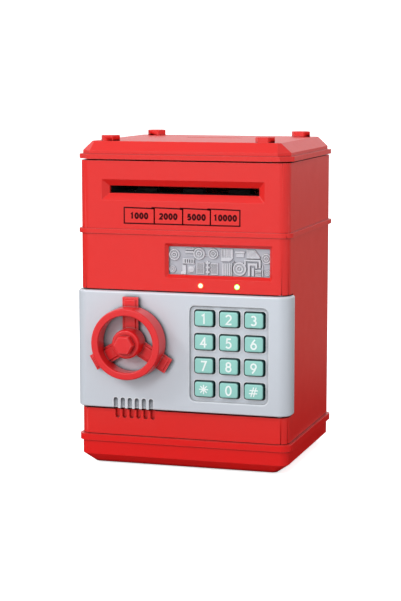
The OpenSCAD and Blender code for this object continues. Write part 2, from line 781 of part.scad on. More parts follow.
module lock_plunger() {
    color(steel) placed()
        bar_z(1.5, wheel_z + collar_r + 0.5, 94, wheel_x, collar_y + collar_t / 2);
}

// ---- latch wheel ----

module on_wheel_axis() {
    placed() facing_front() translate([wheel_x, wheel_z, 0]) children();
}

module hand_wheel() {
    bevel = 0.8;
    color(red) on_wheel_axis() difference() {
        union() {
            rotate_extrude($fn = 72) polygon([
                [ring_inner_r - 0.2, wheel_back], [ring_r + 0.4, wheel_back], [ring_r, ring_front - bevel],
                [ring_r - bevel, ring_front], [ring_inner_r + 0.5, ring_front], [ring_inner_r, ring_front - 0.5]]);
            rotate_extrude() polygon([
                [0, wheel_back], [hub_r + 0.3, wheel_back], [hub_r, hub_front - bevel],
                [hub_r - bevel, hub_front], [0, hub_front]]);
            for (a = [90, 210, 330]) rotate(a) translate([5, 0, 0]) rotate([90, 0, 90])
                linear_extrude(grip_r - 5) polygon([
                    [-4.7, wheel_back], [4.7, wheel_back], [4.7, grip_front - 1.4],
                    [3.3, grip_front], [-3.3, grip_front], [-4.7, grip_front - 1.4]]);
        }
        translate([0, 0, wheel_back - 1]) cylinder(r = shaft_r + fit, h = 9);
        cylinder(r = 1.5, h = 30);
    }
}

module wheel_bolt() {
    color(red) on_wheel_axis() {
        translate([0, 0, hub_front]) cylinder(r = 5.9, h = hex_front - hub_front, $fn = 6);
        translate([0, 0, 7]) cylinder(r = 1.5 - fit, h = hub_front - 7);
    }
}

module wheel_shaft() {
    color(steel) on_wheel_axis() difference() {
        translate([0, 0, -20.6]) cylinder(r = shaft_r, h = 20.6 + wheel_back + 8);
        translate([0, 0, 6]) cylinder(r = 1.5, h = 20);
    }
}

module lock_collar() {
    color(steel) on_wheel_axis() translate([0, 0, -collar_y - collar_t]) difference() {
        cylinder(r = collar_r, h = collar_t);
        translate([0, 0, -1]) cylinder(r = shaft_r + fit, h = 9);
        for (a = [90, 180]) rotate(a) translate([4.8, -1.9, -1]) cube([9, 3.8, 9]);
    }
}

module latch_cam() {
    color(steel) on_wheel_axis() translate([0, 0, -cam_y - cam_t]) difference() {
        linear_extrude(cam_t) {
            circle(6);
            translate([-3.5, 3.5 - cam_reach]) square([7, cam_reach - 3.5]);
            translate([0, 3.5 - cam_reach]) circle(3.5);
        }
        translate([0, 0, -1]) cylinder(r = shaft_r + fit, h = 9);
    }
}

module cam_nut() {
    color(steel) on_wheel_axis() translate([0, 0, -cam_y - cam_t - 2.1]) difference() {
        cylinder(r = 5, h = 2.1, $fn = 6);
        translate([0, 0, -1]) cylinder(r = shaft_r + fit, h = 9);
    }
}

// ---- keys ----

// One key by its column from the left and its row from the top
module key(column, row) {
    x = pad_x + (column - 1) * key_pitch_x;
    z = pad_z + (1.5 - row) * key_pitch_z;
    skirt_y = -1.5;
    color(mint) placed() translate([x, 0, z]) {
        facing_front(1.5) linear_extrude(0.6) key_outline(14, 11.6, 2);
        facing_front(0.95) linear_extrude(0.95 - skirt_y) key_outline(key_w, key_h, 1.4);
        facing_front() loft(
            rounded(-key_w / 2, -key_h / 2, key_w / 2, key_h / 2, 1.4), -skirt_y - 0.05,
            rounded(0.65 - key_w / 2, 0.5 - key_h / 2, key_w / 2 - 0.65, key_h / 2 - 0.5, 1.2), key_front);
    }
}

base_tray();
rubber_feet();
battery_cover();
battery_screw();
batteries();
battery_contacts();
speaker();
base_screws();
rear_shell();
safe_floor();
front_frame();
frame_screws();
hinge_pins();
relief_plate();
red_led();
green_led();
main_board();
board_parts();
board_screws();
partition_plate();
note_guide();
feeder_frame();
feeder_screws();
drive_motor();
motor_pinion();
feed_shaft();
feed_gear();
feed_rollers();
pinch_shaft();
pinch_rollers();
top_cover();
cover_bolts();
coin_chute();
door_panel();
door_liner();
door_screws();
keypad_mat();
keypad_board();
shaft_bushing();
lock_solenoid();
lock_plunger();
hand_wheel();
wheel_bolt();
wheel_shaft();
lock_collar();
latch_cam();
cam_nut();
key(0, 0);  // key_1
key(1, 0);  // key_2
key(2, 0);  // key_3
key(0, 1);  // key_4
key(1, 1);  // key_5
key(2, 1);  // key_6
key(0, 2);  // key_7
key(1, 2);  // key_8
key(2, 2);  // key_9
key(0, 3);  // key_star
key(1, 3);  // key_0
key(2, 3);  // key_hash
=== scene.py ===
import json

import bmesh
import bpy
import numpy as np
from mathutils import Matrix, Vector


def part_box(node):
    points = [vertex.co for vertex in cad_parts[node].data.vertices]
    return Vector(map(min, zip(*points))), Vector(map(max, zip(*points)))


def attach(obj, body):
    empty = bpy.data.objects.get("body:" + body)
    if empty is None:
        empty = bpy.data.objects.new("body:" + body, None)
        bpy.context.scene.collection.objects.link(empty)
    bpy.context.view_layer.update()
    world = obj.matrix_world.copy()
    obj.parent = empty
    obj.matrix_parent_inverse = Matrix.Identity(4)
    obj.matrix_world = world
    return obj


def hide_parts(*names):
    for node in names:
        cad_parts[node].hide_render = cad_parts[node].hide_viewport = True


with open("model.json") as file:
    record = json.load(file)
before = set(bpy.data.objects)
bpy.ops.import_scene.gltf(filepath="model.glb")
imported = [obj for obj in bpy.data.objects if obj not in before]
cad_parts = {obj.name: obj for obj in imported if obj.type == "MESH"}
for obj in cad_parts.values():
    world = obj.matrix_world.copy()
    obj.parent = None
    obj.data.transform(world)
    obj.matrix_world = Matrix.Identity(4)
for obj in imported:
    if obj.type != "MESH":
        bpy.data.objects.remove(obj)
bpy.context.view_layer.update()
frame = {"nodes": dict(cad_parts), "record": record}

nodes = frame["nodes"]
mm = 0.001

# The case frame in millimetres: x = 0 mid width, y = 0 the front plane, z = 0 under the tray.
# The tray's foot stands 1 mm before the front plane
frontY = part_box("base_tray")[0].y + 1 * mm
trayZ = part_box("base_tray")[0].z


def inFrame(points):
    # millimetres in the case frame to metres in the shared frame: scale, then shift
    return np.asarray(points, float) * mm + np.array([0.0, frontY, trayZ])


def inCase(point):
    # the inverse: a place in the shared frame, in the case frame's millimetres
    return (np.asarray(point, float) - np.array([0.0, frontY, trayZ])) / mm


def newGroup(name, inputs, outputs):
    # an empty node group with its sockets, and the two nodes that stand for them inside it
    group = bpy.data.node_groups.new(name, "ShaderNodeTree")
    for label, kind, value in inputs:
        socket = group.interface.new_socket(name=label, in_out="INPUT", socket_type=kind)
        socket.default_value = value
    for label, kind in outputs:
        group.interface.new_socket(name=label, in_out="OUTPUT", socket_type=kind)
    return group, group.nodes.new("NodeGroupInput"), group.nodes.new("NodeGroupOutput")


def wire(tree, source, target):
    tree.links.new(source, target)


def mathNode(tree, operation, a, b, clamp=False):
    # the operation on a and b, each a socket or a number; clamped, the result stays in 0..1
    node = tree.nodes.new("ShaderNodeMath")
    node.operation = operation
    node.use_clamp = clamp
    for i, value in enumerate((a, b)):
        if isinstance(value, (int, float)):
            node.inputs[i].default_value = value
        else:
            wire(tree, value, node.inputs[i])
    return node.outputs[0]


def noiseNode(tree, coords, scale, detail=2.0, roughness=0.5):
    node = tree.nodes.new("ShaderNodeTexNoise")
    node.inputs["Scale"].default_value = scale
    node.inputs["Detail"].default_value = detail
    node.inputs["Roughness"].default_value = roughness
    wire(tree, coords, node.inputs["Vector"])
    return node.outputs["Fac"]


def spread(tree, value, low, high, outLow=0.0, outHigh=1.0):
    # a smooth step from outLow to outHigh as the value runs from low to high; a limit may be a socket
    node = tree.nodes.new("ShaderNodeMapRange")
    node.interpolation_type = "SMOOTHSTEP"
    wire(tree, value, node.inputs["Value"])
    for label, limit in (("From Min", low), ("From Max", high), ("To Min", outLow), ("To Max", outHigh)):
        if isinstance(limit, (int, float)):
            node.inputs[label].default_value = limit
        else:
            wire(tree, limit, node.inputs[label])
    return node.outputs["Result"]


def buildMouldGrain():
    # cloudy tone, fine grain and shallow waviness of a moulded surface, from noise at three scales
    group, gIn, gOut = newGroup(
        "mouldGrain",
        [("Roughness", "NodeSocketFloat", 0.35), ("Grain", "NodeSocketFloat", 1.0)],
        [("Tone", "NodeSocketFloat"), ("Roughness", "NodeSocketFloat"), ("Height", "NodeSocketFloat")])
    coords = group.nodes.new("ShaderNodeTexCoord").outputs["Object"]
    cloud = noiseNode(group, coords, 14.0, 3.0)
    smear = noiseNode(group, coords, 95.0, 4.0, 0.6)
    fine = noiseNode(group, coords, 2600.0, 2.0)
    tone = mathNode(group, "SUBTRACT", mathNode(group, "ADD", cloud, smear), 1.0)
    rough = mathNode(group, "ADD", gIn.outputs["Roughness"], mathNode(group, "MULTIPLY", tone, 0.08))
    rough = mathNode(group, "ADD", rough, spread(group, fine, 0.3, 0.7, -0.02, 0.03))
    height = mathNode(group, "MULTIPLY", mathNode(group, "MULTIPLY", fine, gIn.outputs["Grain"]), 0.4)
    height = mathNode(group, "ADD", height, mathNode(group, "MULTIPLY", cloud, 1.5))
    wire(group, tone, gOut.inputs["Tone"])
    wire(group, rough, gOut.inputs["Roughness"])
    wire(group, height, gOut.inputs["Height"])
    return group


def buildEdgeHighlight():
    # painted highlight along edges: how far the normal of a rounded surface leans from the true one, broken
    # up by noise
    group, gIn, gOut = newGroup(
        "edgeHighlight", [("Amount", "NodeSocketFloat", 0.3), ("Reach", "NodeSocketFloat", 0.00035)],
        [("Mask", "NodeSocketFloat")])
    coords = group.nodes.new("ShaderNodeTexCoord").outputs["Object"]
    rounded = group.nodes.new("ShaderNodeBevel")
    rounded.samples = 4
    wire(group, gIn.outputs["Reach"], rounded.inputs["Radius"])
    lean = group.nodes.new("ShaderNodeVectorMath")
    lean.operation = "DOT_PRODUCT"
    wire(group, rounded.outputs["Normal"], lean.inputs[0])
    wire(group, group.nodes.new("ShaderNodeNewGeometry").outputs["Normal"], lean.inputs[1])
    corner = spread(group, lean.outputs["Value"], 0.86, 0.995, 1.0, 0.0)
    broken = spread(group, noiseNode(group, coords, 180.0, 3.0, 0.6), 0.25, 0.55, 0.45, 1.0)
    mask = mathNode(group, "MULTIPLY", corner, broken)
    mask = mathNode(group, "MULTIPLY", mask, gIn.outputs["Amount"], True)
    wire(group, mask, gOut.inputs["Mask"])
    return group


def buildDustFilm():
    # a thin film of dust on faces that look up, thicker where slow noise is high
    group, gIn, gOut = newGroup(
        "dustFilm", [("Amount", "NodeSocketFloat", 0.1)], [("Mask", "NodeSocketFloat")])
    coords = group.nodes.new("ShaderNodeTexCoord").outputs["Object"]
    split = group.nodes.new("ShaderNodeSeparateXYZ")
    wire(group, group.nodes.new("ShaderNodeNewGeometry").outputs["Normal"], split.inputs[0])
    upward = spread(group, split.outputs["Z"], 0.55, 1.0)
    patch = spread(group, noiseNode(group, coords, 55.0, 5.0, 0.6), 0.35, 0.75)
    mask = mathNode(group, "MULTIPLY", upward, patch)
    mask = mathNode(group, "MULTIPLY", mask, gIn.outputs["Amount"], True)
    wire(group, mask, gOut.inputs["Mask"])
    return group


def buildGapShade():
    # painted shade that deepens narrow gaps, creases and recesses: how little open sky a point has within a
    # short reach
    group, gIn, gOut = newGroup(
        "gapShade",
        [("Amount", "NodeSocketFloat", 0.8), ("Reach", "NodeSocketFloat", 0.0015),
         ("Open", "NodeSocketFloat", 0.84)],
        [("Mask", "NodeSocketFloat")])
    hidden = group.nodes.new("ShaderNodeAmbientOcclusion")
    hidden.samples = 8
    wire(group, gIn.outputs["Reach"], hidden.inputs["Distance"])
    closed = spread(group, hidden.outputs["AO"], 0.08, gIn.outputs["Open"], 1.0, 0.0)
    wire(group, mathNode(group, "MULTIPLY", closed, gIn.outputs["Amount"], True), gOut.inputs["Mask"])
    return group


groups = {"grain": buildMouldGrain(), "edge": buildEdgeHighlight(), "dust": buildDustFilm(),
          "gap": buildGapShade()}
dustColour = (0.62, 0.58, 0.55)
print("stage: node groups")


def groupNode(tree, key, **values):
    # one of the shared groups, with the given values on its inputs
    node = tree.nodes.new("ShaderNodeGroup")
    node.node_tree = groups[key]
    for label, value in values.items():
        node.inputs[label].default_value = value
    return node


def mixColour(tree, factor, a, b):
    # a where the factor is 0 and b where it is 1; each may be a socket or a fixed value
    node = tree.nodes.new("ShaderNodeMix")
    node.data_type = "RGBA"
    sockets = {s.identifier: s for s in node.inputs}
    for key, value in (("Factor_Float", factor), ("A_Color", a), ("B_Color", b)):
        if isinstance(value, (int, float)):
            sockets[key].default_value = value
        elif isinstance(value, (tuple, list)):
            sockets[key].default_value = (*value[:3], 1.0)
        else:
            wire(tree, value, sockets[key])
    return {s.identifier: s for s in node.outputs}["Result_Color"]


def mouldedMaterial(name, look):
    # tone varies between two close colours; a painted highlight on edges, dust, a painted shade past a
    # depth and a painted shade in gaps are mixed over it, grain drives the bump
    material = bpy.data.materials.new(name)
    material.use_nodes = True
    tree = material.node_tree
    shader = tree.nodes["Principled BSDF"]
    grain = groupNode(tree, "grain", Roughness=look["roughness"], Grain=look.get("grain", 1.0))
    colour = tuple(look["colour"])
    deep = tuple(c * (1.0 - look.get("variation", 0.08)) for c in colour)
    base = mixColour(tree, spread(tree, grain.outputs["Tone"], -0.5, 0.5), colour, deep)
    if look.get("edge"):
        # painted highlight: edges turn to a lighter colour
        edgeLight = groupNode(tree, "edge", Amount=look["edge"], Reach=look.get("edgeReach", 0.00035))
        base = mixColour(tree, edgeLight.outputs["Mask"], base, look["edgeColour"])
    if look.get("dust"):
        dust = groupNode(tree, "dust", Amount=look["dust"])
        base = mixColour(tree, dust.outputs["Mask"], base, dustColour)
    if look.get("shadeBehind"):
        # painted shade: past a depth from the front the surface turns to a dark colour
        split = tree.nodes.new("ShaderNodeSeparateXYZ")
        wire(tree, tree.nodes.new("ShaderNodeTexCoord").outputs["Object"], split.inputs[0])
        start, end, shadeTone = look["shadeBehind"]
        base = mixColour(tree, spread(tree, split.outputs["Y"], start, end), base, shadeTone)
    if look.get("gap"):
        # painted shade: gaps, creases and recesses turn to a dark colour
        shade = groupNode(tree, "gap", Amount=look["gap"], Reach=look.get("gapReach", 0.0015),
                          Open=look.get("gapOpen", 0.84))
        base = mixColour(tree, shade.outputs["Mask"], base, look["gapColour"])
    wire(tree, base, shader.inputs["Base Color"])
    wire(tree, grain.outputs["Roughness"], shader.inputs["Roughness"])
    bump = tree.nodes.new("ShaderNodeBump")
    bump.inputs["Strength"].default_value = look.get("bump", 0.05)
    bump.inputs["Distance"].default_value = 0.0002
    wire(tree, grain.outputs["Height"], bump.inputs["Height"])
    wire(tree, bump.outputs["Normal"], shader.inputs["Normal"])
    shader.inputs["Metallic"].default_value = look.get("metallic", 0.0)
    shader.inputs["Specular IOR Level"].default_value = look.get("specular", 0.5)
    shader.inputs["Coat Weight"].default_value = look.get("coat", 0.0)
    shader.inputs["Coat Roughness"].default_value = 0.1
    if look.get("subsurface"):
        shader.inputs["Subsurface Weight"].default_value = look["subsurface"]
        shader.inputs["Subsurface Radius"].default_value = look["subsurfaceRadius"]
        shader.inputs["Subsurface Scale"].default_value = 0.001
    if look.get("glow"):
        facing = tree.nodes.new("ShaderNodeLayerWeight")
        facing.inputs["Blend"].default_value = 0.45
        core = spread(tree, facing.outputs["Facing"], 0.05, 0.45)
        glow = mixColour(tree, core, look["glowCore"], look["glowColour"])
        wire(tree, glow, shader.inputs["Emission Color"])
        shader.inputs["Emission Strength"].default_value = look["glow"]
    material.diffuse_color = (*colour, 1.0)
    return material


def depthAt(caseY):
    # a depth behind the case's front plane, in the shared frame's metres
    return float(inFrame([0.0, caseY, 0.0])[1])


# In the looks, the edge settings paint a highlight along edges, the depth settings paint shade on the
# wheel's sides by the door, the keys' sides and the relief's low ground, and the gap settings paint shade
# in gaps, creases and recesses
looks = {
    "caseRed": dict(colour=(0.79, 0.012, 0.009), roughness=0.34, bump=0.04, variation=0.04,
                    edge=0.48, edgeReach=0.0005, edgeColour=(0.93, 0.13, 0.11), dust=0.03, specular=0.5,
                    gap=1.0, gapReach=0.0018, gapOpen=0.92, gapColour=(0.05, 0.001, 0.002)),
    "baseRed": dict(colour=(0.80, 0.007, 0.006), roughness=0.34, bump=0.04, variation=0.04,
                    edge=0.40, edgeReach=0.0005, edgeColour=(0.93, 0.11, 0.09), dust=0.03, specular=0.4,
                    gap=1.0, gapReach=0.0030, gapOpen=0.93, gapColour=(0.05, 0.001, 0.002)),
    "wheelRed": dict(colour=(0.77, 0.012, 0.016), roughness=0.32, bump=0.04, variation=0.05,
                     edge=0.90, edgeReach=0.0007, edgeColour=(0.98, 0.30, 0.30), dust=0.03, specular=0.5,
                     shadeBehind=(depthAt(-6.4), depthAt(-4.9), (0.07, 0.001, 0.004)),
                     gap=1.0, gapReach=0.0030, gapOpen=0.97, gapColour=(0.04, 0.001, 0.003)),
    "doorSilver": dict(colour=(0.63, 0.675, 0.74), roughness=0.40, bump=0.05, variation=0.03, metallic=0.15,
                       grain=2.0, edge=0.95, edgeReach=0.0014, edgeColour=(0.95, 0.96, 0.98), dust=0.02,
                       gap=1.0, gapReach=0.0028, gapOpen=0.95, gapColour=(0.02, 0.022, 0.028)),
    "reliefSilver": dict(colour=(0.66, 0.665, 0.72), roughness=0.34, bump=0.08, variation=0.10,
                         metallic=0.2, grain=2.0, edge=0.9, edgeReach=0.0003, edgeColour=(0.97, 0.97, 1.0),
                         shadeBehind=(depthAt(2.6), depthAt(3.55), (0.46, 0.465, 0.52)),
                         gap=1.0, gapReach=0.0011, gapColour=(0.01, 0.01, 0.014)),
    "keyMint": dict(colour=(0.32, 0.68, 0.62), roughness=0.38, bump=0.08, variation=0.08, grain=1.5,
                    edge=0.9, edgeReach=0.0008, edgeColour=(0.66, 0.97, 0.95),
                    shadeBehind=(depthAt(-3.72), depthAt(-3.2), (0.006, 0.05, 0.048))),
    "keyInk": dict(colour=(0.90, 0.98, 0.97), roughness=0.45, bump=0.08, variation=0.04),
    "labelInk": dict(colour=(0.050, 0.001, 0.003), roughness=0.6, bump=0.10, variation=0.2, specular=0.1),
    "blackPlastic": dict(colour=(0.022, 0.022, 0.025), roughness=0.5, bump=0.2, variation=0.2, grain=2.0,
                         edge=0.3, edgeColour=(0.08, 0.08, 0.085)),
    "rubberBlack": dict(colour=(0.03, 0.03, 0.031), roughness=0.75, bump=0.35, variation=0.3, grain=3.0,
                        dust=0.2),
    "platedSteel": dict(colour=(0.58, 0.58, 0.60), roughness=0.28, bump=0.10, variation=0.1, metallic=1.0,
                        edge=0.5, edgeColour=(0.8, 0.8, 0.8)),
    "motorCan": dict(colour=(0.62, 0.62, 0.63), roughness=0.22, bump=0.06, variation=0.06, metallic=1.0),
    "cellWrap": dict(colour=(0.04, 0.05, 0.07), roughness=0.3, bump=0.06, variation=0.2, coat=0.4),
    "nylonWhite": dict(colour=(0.80, 0.80, 0.76), roughness=0.45, bump=0.12, variation=0.05,
                       subsurface=0.15, subsurfaceRadius=(1.0, 0.9, 0.8)),
    "boardGreen": dict(colour=(0.02, 0.13, 0.05), roughness=0.35, bump=0.15, variation=0.25, coat=0.3),
    "lampRed": dict(colour=(1.0, 0.45, 0.2), roughness=0.2, bump=0.02, variation=0.1,
                    glow=1.7, glowColour=(1.0, 0.20, 0.04), glowCore=(1.0, 0.88, 0.74)),
    "lampGreen": dict(colour=(0.6, 1.0, 0.3), roughness=0.2, bump=0.02, variation=0.1,
                      glow=1.7, glowColour=(0.16, 0.72, 0.02), glowCore=(0.90, 1.0, 0.74)),
}
materials = {name: mouldedMaterial(name, look) for name, look in looks.items()}
slotLooks = {
    "case_red": "caseRed", "door_silver": "doorSilver", "relief_silver": "reliefSilver",
    "key_mint": "keyMint", "black_plastic": "blackPlastic", "roller_rubber": "rubberBlack",
    "steel": "platedSteel", "motor_can": "motorCan", "battery_wrap": "cellWrap",
    "white_nylon": "nylonWhite", "board_green": "boardGreen", "lamp_red": "lampRed",
    "lamp_green": "lampGreen"}
shellLooks = {"base_tray": "baseRed"}    # a shell whose look differs from its slot's
nodeSlots = {part["node"]: part["material_slot"] for part in frame["record"]["subparts"]}
for name, node in nodes.items():
    node.data.materials.clear()
    node.data.materials.append(materials[slotLooks[nodeSlots[name]]])
print("stage: materials", len(materials))


def bodyOf(node):
    # the body whose members include the node
    return next(b for b, members in frame["record"]["behaviour"]["bodies"].items() if node in members)


def placePiece(name, mesh, look, near, replaced=()):
    # links the piece at the origin, rides it on the body of the node near it and gives it the material of
    # the named look
    piece = bpy.data.objects.new(name, mesh)
    bpy.context.scene.collection.objects.link(piece)
    mesh.materials.clear()
    mesh.materials.append(materials[look])
    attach(piece, bodyOf(near))
    if replaced:
        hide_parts(*replaced)
    return piece


def softenEdges(piece, width, method="WEIGHT", segments=3):
    # rounds the sharp edges by a bevel modifier, then lets wide faces set the normals at their corners
    bevel = piece.modifiers.new("softEdges", "BEVEL")
    bevel.limit_method = method
    bevel.angle_limit = np.radians(30.0)
    bevel.width = width * mm
    bevel.segments = segments
    bevel.use_clamp_overlap = True
    bevel.miter_outer = "MITER_ARC"
    even = piece.modifiers.new("evenShade", "WEIGHTED_NORMAL")
    even.keep_sharp = True
    even.weight = 80


# Degrees over which an edge is sharp, under which faces join and up to which an edge of a wide face still
# shades smooth; the area of a wide face in mm2; the distance in metres under which corners merge
softLook = {"sharp": 22.0, "flat": 0.4, "seam": 0.5, "wide": 90.0, "merge": 2e-6}


def softenedCopy(node, width, chosen):
    # the node's mesh, merged, coplanar faces joined; a sharp edge gets the width times its chosen share
    mesh = nodes[node].data.copy()
    mesh.name = node + "_skin"
    work = bmesh.new()
    work.from_mesh(mesh)
    bmesh.ops.remove_doubles(work, verts=work.verts, dist=softLook["merge"])
    bmesh.ops.dissolve_limit(work, angle_limit=np.radians(softLook["flat"]), verts=work.verts,
                             edges=work.edges)
    weights = work.edges.layers.float.new("bevel_weight_edge")
    for edge in work.edges:
        turn = edge.calc_face_angle(0.0) if len(edge.link_faces) == 2 else 0.0
        area = max((face.calc_area() for face in edge.link_faces), default=0.0)
        middle = inCase((edge.verts[0].co + edge.verts[1].co) / 2)
        share = float(chosen(*middle)) if turn > np.radians(softLook["sharp"]) else 0.0
        limit = softLook["seam"] if area > softLook["wide"] * mm * mm else softLook["sharp"]
        edge[weights] = share
        edge.smooth = bool(share > 0 or turn <= np.radians(limit))
    for face in work.faces:
        face.smooth = True
    work.to_mesh(mesh)
    work.free()
    look = shellLooks.get(node, slotLooks[nodeSlots[node]])
    softenEdges(placePiece(node + "_skin", mesh, look, node, (node,)), width)


def inVents(x, z):
    # the lower left of the front, where the vents' slots are cut
    return -43 < x < -14 and z < 41


def doorShare(x, y, z):
    # roundest along the top, less along the bottom and round the key field, sharp at the vents and behind
    if inVents(x, z) or y > 9.4:
        return 0.0
    if z > 101.5:
        return 1.0
    if z < 33.7:
        return 0.7
    return 0.5 * (y < -2.9 and 4 < x < 53)


# Width of the bevel in mm, and the share of it at an edge whose middle is at x, y, z of the case frame
shellBevels = {
    "top_cover": (0.45, lambda x, y, z: abs(x) > 50 or y < 6 or y > 97),
    "front_frame": (0.28, lambda x, y, z: (y < 0.3 or abs(x) > 61.5) and y < 15.7 and not inVents(x, z)),
    "rear_shell": (0.35, lambda x, y, z: abs(x) > 61 or y > 102),
    "base_tray": (0.5, lambda x, y, z: abs(x) > 53.5 or y < 5.5 or y > 97.5),
    "door_panel": (1.25, doorShare),
    "cover_bolts": (0.3, lambda x, y, z: z > 187),
    "battery_cover": (0.2, lambda x, y, z: True),
    "rubber_feet": (0.3, lambda x, y, z: z < 0)}
for node, (width, chosen) in shellBevels.items():
    softenedCopy(node, width, chosen)
print("stage: softened shells")


def quadGrid(rows, cols, wrapRows=False, wrapCols=True):
    # quads of a rows x cols grid of points, each point joined to its neighbours to the right and above
    r = np.arange(rows if wrapRows else rows - 1)[:, None]
    c = np.arange(cols if wrapCols else cols - 1)[None, :]
    here, right = r * cols, (r + 1) % rows * cols
    after = (c + 1) % cols
    corners = [here + c, here + after, right + after, right + c]
    return [q for q in np.stack([k.ravel() for k in corners], axis=1)]


def loft(rings, wrap=False):
    # rings of points (rows, count, 3) skinned into a closed part; unless it wraps, both ends are capped
    rings = np.asarray(rings, float)
    rows, count, _ = rings.shape
    faces = quadGrid(rows, count, wrapRows=wrap)
    if not wrap:
        faces += [np.arange(count)[::-1], np.arange(count) + (rows - 1) * count]
    return rings.reshape(-1, 3), faces


def meshOf(name, parts, sharp=35.0):
    # stacks the parts, shifting their indices, turns faces outward and keeps edges over the angle sharp
    starts = np.cumsum([0] + [len(points) for points, _ in parts])
    points = np.concatenate([points for points, _ in parts])
    faces = [(face + start).tolist() for (_, part), start in zip(parts, starts) for face in part]
    mesh = bpy.data.meshes.new(name)
    mesh.from_pydata(inFrame(points).tolist(), [], faces)
    work = bmesh.new()
    work.from_mesh(mesh)
    bmesh.ops.recalc_face_normals(work, faces=work.faces)
    work.to_mesh(mesh)
    work.free()
    mesh.polygons.foreach_set("use_smooth", np.ones(len(mesh.polygons), bool))
    mesh.set_sharp_from_angle(angle=np.radians(sharp))
    return mesh


def roundedRing(width, height, radius, count=40):
    # round a rectangle with rounded corners: sign of cos and sin picks the corner, cos and sin run its arc
    t = (np.arange(count) + 0.5) / count * 2 * np.pi
    width, height, radius = (np.atleast_1d(v)[:, None] for v in (width, height, radius))
    across = np.sign(np.cos(t)) * (width / 2 - radius) + radius * np.cos(t)
    up = np.sign(np.sin(t)) * (height / 2 - radius) + radius * np.sin(t)
    return np.stack([across, up], axis=-1)


def standing(flat, depth, centre):
    # a drawing of x and z at a depth y: rings (rows, count, 2) and one depth for each row
    depth = np.broadcast_to(np.asarray(depth, float)[:, None], flat.shape[:2])
    return np.stack([flat[..., 0] + centre[0], depth, flat[..., 1] + centre[1]], axis=-1)


keyLook = {"columns": (13.95, 28.6, 43.25), "rows": (87.85, 74.35, 60.85, 47.35), "face": -4.0,
           "width": 11.5, "height": 9.3, "flange": 1.25, "flangeBack": 1.5, "flangeFront": 0.9,
           "skirt": -1.5, "draw": 0.35, "shoulder": 0.8, "crown": 2.6, "dome": 0.05, "corner": 1.5}


def keyRings(centre):
    # flange, skirt, sides drawn in, a quarter-circle shoulder, then a crown shrinking to the middle
    a = np.linspace(0.0, np.pi / 2, 7)
    s = np.linspace(0.0, 1.0, 6)[1:]
    shoulder, draw, dome, flange = (keyLook[key] for key in ("shoulder", "draw", "dome", "flange"))
    foot = keyLook["flangeFront"]
    edge = keyLook["face"] + dome
    inset = np.concatenate([[-flange, -flange, 0.0, 0.0], draw + shoulder * (1 - np.cos(a)),
                            draw + shoulder + keyLook["crown"] * s])
    depth = np.concatenate([[keyLook["flangeBack"], foot, foot, keyLook["skirt"]],
                            edge + shoulder * (1 - np.sin(a)), edge - dome * s])
    radius = np.clip(keyLook["corner"] - 0.15 * inset, 0.5, 2.0)
    flat = roundedRing(keyLook["width"] - 2 * inset, keyLook["height"] - 2 * inset, radius)
    return standing(flat, depth, centre)


def arc(x, z, rx, rz, start, end, count=20):
    # points of an ellipse's arc between two angles in degrees
    t = np.radians(np.linspace(start, end, count))
    return np.stack([x + rx * np.cos(t), z + rz * np.sin(t)], axis=1)


def ring(x, z, rx, rz, count=28):
    # points once round an ellipse, open by one step so that the band closes on itself
    return arc(x, z, rx, rz, 90, 450 - 360 / count, count)


def line(*points):
    return np.array(points, float)


# Centre lines of the numerals for a height of 1, and whether each line closes on itself
glyphs = {
    "0": [(ring(0, 0, 0.24, 0.405), True)],
    "1": [(line((-0.16, 0.25), (0.04, 0.405), (0.04, -0.475)), False)],
    "2": [(np.concatenate([arc(0, 0.17, 0.23, 0.235, 165, -35),
                           line((-0.22, -0.405), (0.28, -0.405))]), False)],
    "3": [(arc(-0.02, 0.205, 0.2, 0.2, 150, -90), False),
          (arc(-0.02, -0.19, 0.23, 0.215, 90, -150), False)],
    "4": [(line((0.1, -0.475), (0.1, 0.475)), False),
          (line((0.1, 0.40), (-0.27, -0.18), (0.30, -0.18)), False)],
    "5": [(np.concatenate([line((0.22, 0.405), (-0.13, 0.405), (-0.17, 0.06)),
                           arc(-0.02, -0.15, 0.245, 0.255, 108, -148)]), False)],
    "6": [(ring(0, -0.16, 0.235, 0.245), True),
          (line((0.12, 0.46), (-0.10, 0.17), (-0.225, -0.11)), False)],
    "7": [(line((-0.25, 0.405), (0.24, 0.405), (-0.10, -0.475)), False)],
    "8": [(ring(0, 0.21, 0.19, 0.195), True), (ring(0, -0.185, 0.225, 0.22), True)],
    "9": [(ring(0, 0.16, 0.235, 0.245), True),
          (line((-0.12, -0.46), (0.10, -0.17), (0.225, 0.11)), False)],
    "star": [(line((0.43 * np.cos(a), 0.43 * np.sin(a)), (-0.43 * np.cos(a), -0.43 * np.sin(a))), False)
             for a in np.radians([0, 45, 90, 135])],
    "hash": [(line((-0.24, -0.44), (0.02, 0.44)), False), (line((0.0, -0.44), (0.26, 0.44)), False),
             (line((-0.36, 0.14), (0.42, 0.14)), False), (line((-0.42, -0.14), (0.36, -0.14)), False)],
}


def band(path, closed, width, centre, size, front, back):
    # a flat band along a centre line: each point pushed half a width along its mitred normal, both ways
    path = path * size
    ahead = np.roll(path, -1, axis=0) - path
    if not closed:
        ahead[-1] = ahead[-2]
    ahead /= np.linalg.norm(ahead, axis=1)[:, None]
    before = np.roll(ahead, 1, axis=0)
    if not closed:
        before[0] = ahead[0]
    normal = np.stack([-(ahead + before)[:, 1], (ahead + before)[:, 0]], axis=1)
    normal /= np.linalg.norm(normal, axis=1)[:, None]
    square = np.stack([-ahead[:, 1], ahead[:, 0]], axis=1)
    push = normal * (width / 2) / np.clip((normal * square).sum(1), 0.55, 1.0)[:, None]
    left, right = path + push + centre, path - push + centre
    corners = [(left, front), (right, front), (right, back), (left, back)]
    rings = np.stack([np.stack([p[:, 0], np.full(len(p), y), p[:, 1]], axis=1) for p, y in corners], axis=1)
    return loft(rings, wrap=closed)


